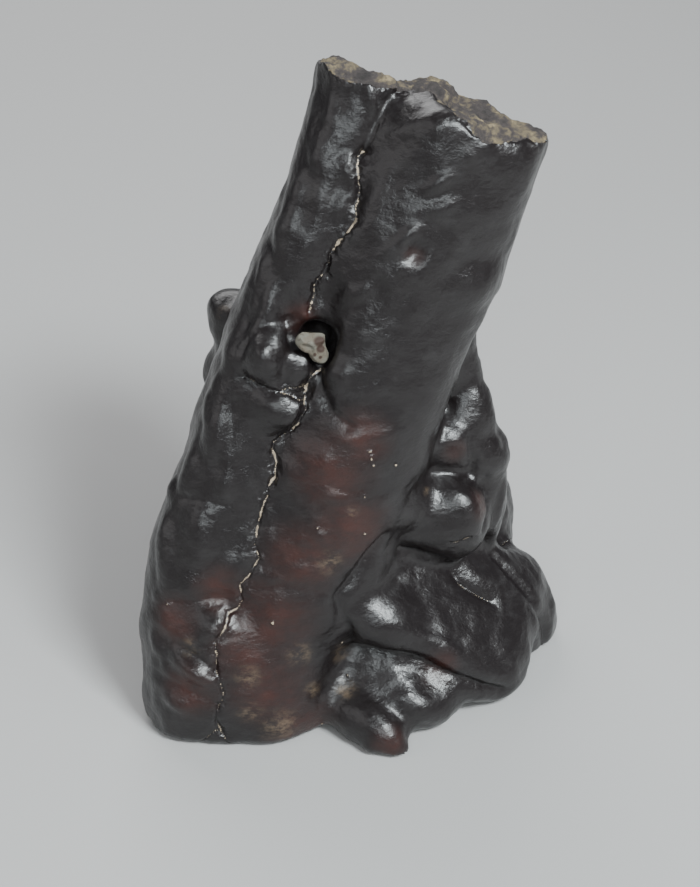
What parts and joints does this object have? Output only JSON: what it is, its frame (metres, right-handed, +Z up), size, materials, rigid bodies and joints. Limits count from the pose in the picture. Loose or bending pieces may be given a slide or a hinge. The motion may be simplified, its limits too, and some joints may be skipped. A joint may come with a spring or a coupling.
{
  "type": "iron oxide concretion",
  "caption": "Glossy near-black iron oxide concretion: leaning columns grown together and broken off at the top, propped by rounded lobes, resting on the flat of its foot.",
  "frame": {"origin": "middle of the bounding box, on the plane that the concretion rests on", "axes": "+Z up, -Y the side seen in the picture (front), +X to the right of that side"},
  "size_m": [0.096, 0.0804, 0.143],
  "materials": {
    "iron_oxide": "gloss",
    "pale_pebble": "matte"
  },
  "bodies": {
    "root": {"concretion": "iron_oxide", "pebble": "pale_pebble"}
  },
  "joints": []
}
